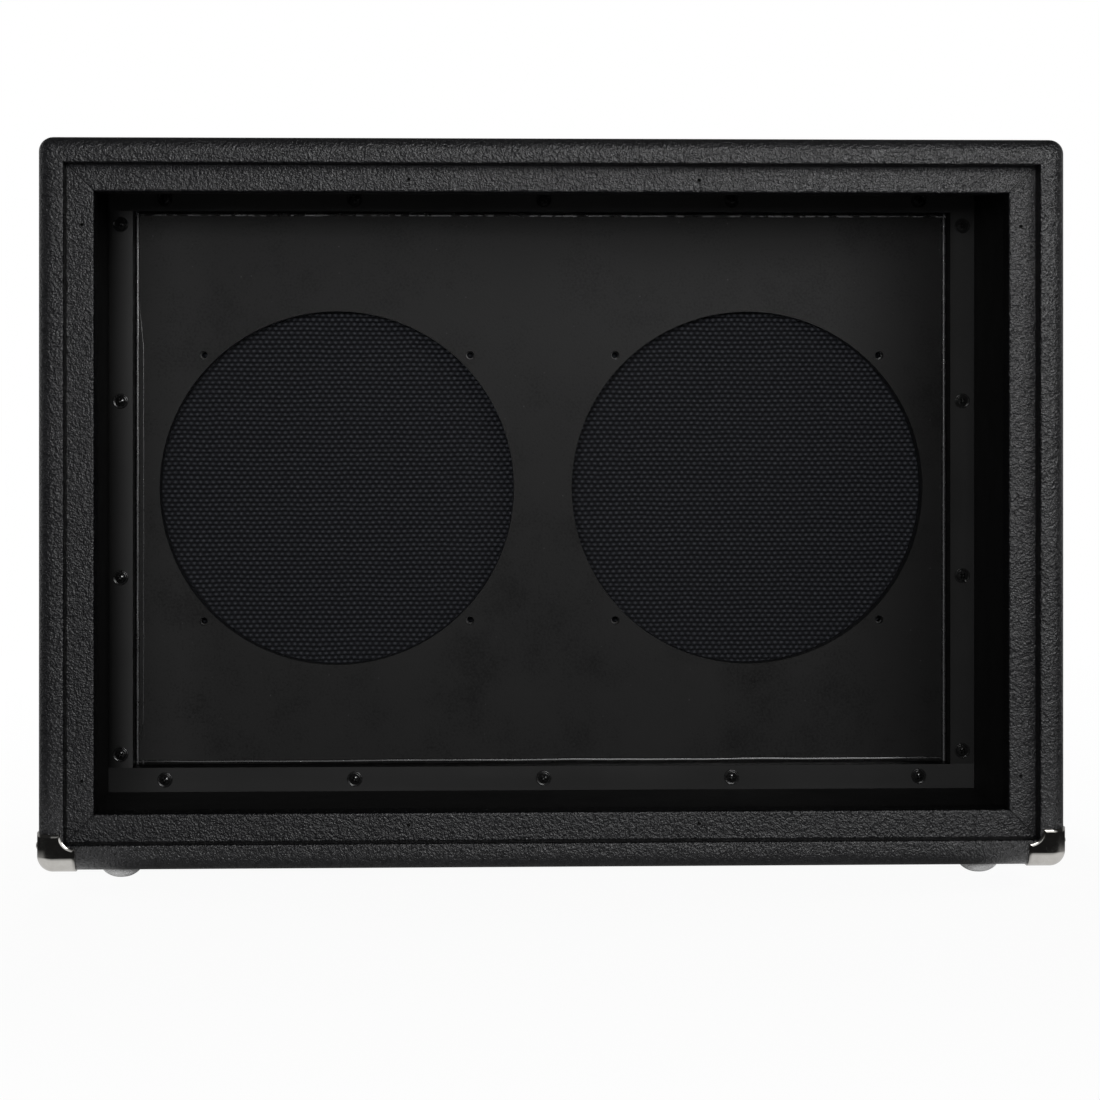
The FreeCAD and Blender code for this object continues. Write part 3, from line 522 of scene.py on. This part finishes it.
# washer-head screws, each turned to its own angle, with a rolled rim and a cross recess; sizes in mm
screw = {"turns": 40, "recess": 2.4, "arm": 0.62, "deep": 1.5, "shallow": 0.4, "shank": 1.9, "long": 31.0, "point": 5.0,
         "rearY": -92.5, "across": (-295.7, -147.85, 0.0, 147.85, 295.7), "up": (-206.8, -68.9, 68.9, 206.8),
         "row": (330.2, 226.8), "crease": 50, "seed": 3}
screwShape = [(0.0, 3.2), (0.35, 3.2), (0.7, 3.17), (1.1, 3.1), (1.5, 3.02), (1.9, 2.9), (2.4, 2.7), (2.9, 2.42),
              (3.4, 2.05), (3.8, 1.62), (4.0, 1.2), (4.2, 0.98), (4.6, 0.95), (4.85, 1.1), (5.1, 1.32), (5.35, 1.42),
              (5.6, 1.38), (5.82, 1.2), (5.96, 0.9), (6.0, 0.5), (6.0, 0.0), (screw["shank"], 0.0),
              (screw["shank"], screw["point"] - screw["long"]), (0.02, -screw["long"])]  # radius, height


def addScrew(points, faces, x, z, turn):
    first = len(points)
    count = screw["turns"]
    a, b = math.cos(turn), math.sin(turn)
    for radius, height in screwShape:
        for k in range(count):
            angle = 2 * math.pi * k / count
            u, v = radius * math.cos(angle), radius * math.sin(angle)
            arm = min(abs(u), abs(v)) < screw["arm"] and radius < screw["recess"]
            rise = 1 - radius / screw["recess"] * screw["shallow"]
            sunk = screw["deep"] * rise if arm and height > 0 else 0
            y = screw["rearY"] + height - sunk
            points.append(((x + u * a - v * b) * mm, y * mm, midZ + (z + u * b + v * a) * mm))
    for i in range(len(screwShape) - 1):
        for k in range(count):
            c, d = first + i * count, first + (i + 1) * count
            faces.append((c + k, c + (k + 1) % count, d + (k + 1) % count, d + k))


rng = np.random.default_rng(screw["seed"])
for side in sides:
    points, faces = [], []
    way = 1 if side in ("top", "right") else -1
    spots = [(x, way * screw["row"][1]) for x in screw["across"]]
    if side in ("left", "right"):
        spots = [(way * screw["row"][0], z) for z in screw["up"]]
    for x, z in spots:
        addScrew(points, faces, x, z, rng.uniform(0, math.pi / 2))
    name = "battenScrews_" + side
    addPiece(name, points, faces, metals["blackScrew"], ["batten_screws_" + side], "black_screw", screw["crease"])
print("screws done")

# sealant bead, run round the baffle by hand, with a smear beside one run; left and right as seen from behind
bead = {
    "high": 1.3, "step": 3.0, "baffleY": -111.5, "crease": 60, "seed": 7,  # shape in mm, finish in metres
    "wide": {"top": 2.8, "left": 2.9, "bottom": 3.2, "right": 3.4}, "lower": {"bottom": 0.6},
    "sway": (15, 0.09), "swell": (21, 0.05), "ease": 12, "slim": 0.15, "tuck": 0.45,
    "smear": (0.9, 0.3, 5.6), "smearEnds": (70, 2),  # width, height and offset; left free above and below
    "shades": (0.006, 0.01), "wavy": 90.0, "rough": (0.2, 0.34), "ripple": 260.0, "rippleBump": (0.3, 0.0003),
    "shine": 1.0, "coat": 1.0, "coatRough": 0.14, "coatIor": 1.9,
    "pale": (0.16, 0.16, 0.165), "line": (0.0003, 0.0008), "dash": 170.0, "dashes": (0.44, 0.56),
    "patch": 60.0, "patchy": (0.35, 0.65, 0.45, 0.9),
    "topLine": 0.0023, "leftLine": 0.0015, "smearLine": (0.00605, 0.25), "rightLine": (0.0018, 0.45),
}
beadShape = [(0, 0.25), (0.18, 0.42), (0.36, 0.82), (0.46, 0.97), (0.53, 1), (0.62, 0.96), (0.78, 0.86), (0.9, 0.74),
             (0.96, 0.42), (1, 0)]  # shares of its width and height
sealMat, tree, shader, place = newMaterial("sealant")


def highlightLine(value, spot, share):  # painted highlight: a pale thin line on the bead
    off = maths(tree, "ABSOLUTE", maths(tree, "SUBTRACT", value, spot))
    return maths(tree, "MULTIPLY", span(tree, off, *bead["line"], 1.0, 0.0), share)


axis = axes(tree, place)
wavy = noise(tree, place, bead["wavy"], 3.0)
dashes = span(tree, noise(tree, place, bead["dash"], 1.0), *bead["dashes"], 0.0, 1.0)
patchy = span(tree, noise(tree, place, bead["patch"], 1.0), *bead["patchy"])
smearSpot, smearShare = bead["smearLine"]
rightSpot, rightShare = bead["rightLine"]
# painted highlights: pale thin lines along the top run, the left run, the smear and the right run
pale = highlightLine(axis["Z"], midZ + openH - bead["topLine"], dashes)
sideLines = [(openW - bead["leftLine"], patchy), (openW - smearSpot, smearShare), (rightSpot - openW, rightShare)]
for spot, share in sideLines:
    pale = maths(tree, "MAXIMUM", pale, highlightLine(axis["X"], spot, share))
fill(shader, {
    "Base Color": blend(tree, pale, ramp(tree, wavy, list(zip(noiseRange, bead["shades"]))), colour(bead["pale"])),
    "Roughness": span(tree, wavy, *noiseRange, *bead["rough"]),
    "Normal": bump(tree, noise(tree, place, bead["ripple"]), *bead["rippleBump"]),
    "Specular IOR Level": bead["shine"], "Coat Weight": bead["coat"],
    "Coat Roughness": bead["coatRough"], "Coat IOR": bead["coatIor"],
})
rng = np.random.default_rng(bead["seed"])


def wobble(count, width, size):  # smooth random drift along a run
    bell = np.hanning(width)
    raw = rng.normal(size=count + width)
    return np.convolve(raw, bell / np.sqrt((bell ** 2).sum()), "valid")[:count] * size


def beadRun(start, end, toward, wide, high, offset, taper):  # thins out at both ends where it tapers
    count = max(int((Vector(end) - Vector(start)).length / (bead["step"] * mm)), 2)
    drift, swell = wobble(count + 1, *bead["sway"]), 1 + wobble(count + 1, *bead["swell"])
    rows = []
    for i in range(count if not taper else count + 1):
        spot = Vector(start).lerp(Vector(end), i / count)
        ease = min(min(i, count - i) / bead["ease"], 1)
        slim = bead["slim"] + (1 - bead["slim"]) * ease if taper else 1.0
        away = offset * (bead["tuck"] + (1 - bead["tuck"]) * ease) if taper else 0.0
        row = []
        for a, b in beadShape:
            out = away + a * wide * swell[i] * slim + drift[i] * ease * (1 if a else 0)
            row.append(spot + Vector(toward) * (out * mm) + Vector((0, b * high * swell[i] * slim * mm, 0)))
        row.append(spot + Vector(toward) * (away * mm))
        rows.append(row)
    return rows


baffleY = bead["baffleY"] * mm
low, high = midZ - openH, midZ + openH
turns = [(-openW, baffleY, high), (openW, baffleY, high), (openW, baffleY, low), (-openW, baffleY, low)]
inwards = [(0, 0, -1), (-1, 0, 0), (0, 0, 1), (1, 0, 0)]
rings = []
for k, run in enumerate(("top", "left", "bottom", "right")):
    tall = bead["high"] * bead["lower"].get(run, 1.0)
    rings += beadRun(turns[k], turns[(k + 1) % 4], inwards[k], bead["wide"][run], tall, 0.0, False)
points, faces = bridge(rings, True)
freeAbove, freeBelow = (free * mm for free in bead["smearEnds"])
smearTop, smearLow = (openW, baffleY, high - freeAbove), (openW, baffleY, low + freeBelow)
morePoints, moreFaces = bridge(beadRun(smearTop, smearLow, (-1, 0, 0), *bead["smear"], True), False)
faces += [tuple(len(points) + v for v in face) for face in moreFaces]
points += morePoints
addPiece("sealantBead", points, faces, sealMat, ["baffle_sealant"], "sealant", bead["crease"])
print("sealant done")

# grille cloth: coarse plain weave, thick wefts across, stretched over the spacer frame; sizes in mm
cloth = {
    "halfW": 338.4, "halfH": 235.0, "front": -138.2, "bend": 1.0, "fold": 7.0, "weft": 3.6, "warp": 5.0,
    "relief": 0.35, "wave": (0.7, 0.3), "crease": 80, "cut": 0.01,  # no cloth where both edges fold
    "shades": [(0.1, (0.0026, 0.0028, 0.0034)), (0.55, (0.011, 0.0115, 0.0138)), (1.0, (0.036, 0.038, 0.043))],
    "rough": 0.85, "shine": 0.25, "sheen": 0.08, "yarnBump": (0.7, 0.0005), "fuzzBump": (0.4, 0.0002),
    "sag": 40.0, "lean": 0.25, "under": 0.35,
    "fuzz": 1500.0, "fuzzDrawn": (0.35, 1.0, 1.0), "fuzzy": (0.2, 0.8, 0.6, 1.3),
}
clothMat, tree, shader, place = newMaterial("grilleCloth")
axis = axes(tree, place)
uneven = span(tree, noise(tree, place, cloth["sag"]), 0.0, 1.0, -cloth["lean"], cloth["lean"])
row = maths(tree, "ADD", maths(tree, "DIVIDE", axis["Z"], cloth["weft"] * mm), uneven)
rowAt = maths(tree, "ROUND", row)
rib = maths(tree, "COSINE", maths(tree, "MULTIPLY", maths(tree, "SUBTRACT", row, rowAt), math.pi))
across = maths(tree, "DIVIDE", axis["X"], cloth["warp"] * mm)
across = maths(tree, "ADD", across, maths(tree, "MULTIPLY", rowAt, 0.5))  # every other row is half a thread along
over = span(tree, maths(tree, "COSINE", maths(tree, "MULTIPLY", across, 2 * math.pi)), -1.0, 1.0, 0.0, 1.0)
yarn = maths(tree, "MULTIPLY", rib, span(tree, over, 0.0, 1.0, cloth["under"], 1.0))
fuzz = noise(tree, place, cloth["fuzz"], 3.0, 0.6, cloth["fuzzDrawn"])
# painted highlights on the thread crossings and painted shade between the threads, drawn into the weave's colour
tone = maths(tree, "MULTIPLY", yarn, span(tree, fuzz, *cloth["fuzzy"]))
fill(shader, {
    "Base Color": ramp(tree, tone, cloth["shades"]), "Roughness": cloth["rough"],
    "Specular IOR Level": cloth["shine"], "Sheen Weight": cloth["sheen"],
    "Normal": bump(tree, yarn, *cloth["yarnBump"], bump(tree, fuzz, *cloth["fuzzBump"])),
})


def foldOver(flat, half):  # where a spot of the flat cloth comes to lie, how far back, and 1 on the face
    past = abs(flat) - (half - cloth["bend"])
    side = math.copysign(1, flat)
    if past <= 0:
        return flat, 0.0, 1.0
    turn = min(past / cloth["bend"], math.pi / 2)
    along = max(past - cloth["bend"] * math.pi / 2, 0)
    return side * (half - cloth["bend"] * (1 - math.sin(turn))), cloth["bend"] * (1 - math.cos(turn)) + along, 0.0


def flatCuts(half, step):  # where the flat cloth is cut into faces, closer round the bend
    edge = half - cloth["bend"]
    spots = list(np.arange(0, edge, step))
    spots += [edge + cloth["bend"] * math.pi / 2 * k / 3 for k in range(4)]
    spots.append(edge + cloth["bend"] * math.pi / 2 + cloth["fold"])
    return [-s for s in spots[:0:-1]] + spots


columns, rows = flatCuts(cloth["halfW"], cloth["warp"] / 2), flatCuts(cloth["halfH"], cloth["weft"] / 3)
points, index = [], {}
for j, v in enumerate(rows):
    z, backV, flatV = foldOver(v, cloth["halfH"])
    wefts = (midZ / mm + v) / cloth["weft"]
    weftAt = round(wefts)
    lift = math.cos(math.pi * (wefts - weftAt))
    for i, u in enumerate(columns):
        x, backU, flatU = foldOver(u, cloth["halfW"])
        if backU > cloth["cut"] and backV > cloth["cut"]:
            continue
        wave = cloth["wave"][0] + cloth["wave"][1] * math.cos(2 * math.pi * (u / cloth["warp"] + 0.5 * weftAt))
        y = cloth["front"] + backU + backV - cloth["relief"] * lift * wave * flatU * flatV
        index[i, j] = len(points)
        points.append((x * mm, y * mm, midZ + z * mm))
quads = []
for j in range(len(rows) - 1):
    for i in range(len(columns) - 1):
        keys = ((i, j), (i + 1, j), (i + 1, j + 1), (i, j + 1))
        if all(k in index for k in keys):
            quads.append(tuple(index[k] for k in keys))
clothPiece = addPiece("grilleCloth", points, quads, clothMat, ["grille_cloth"], "grille_cloth", cloth["crease"])
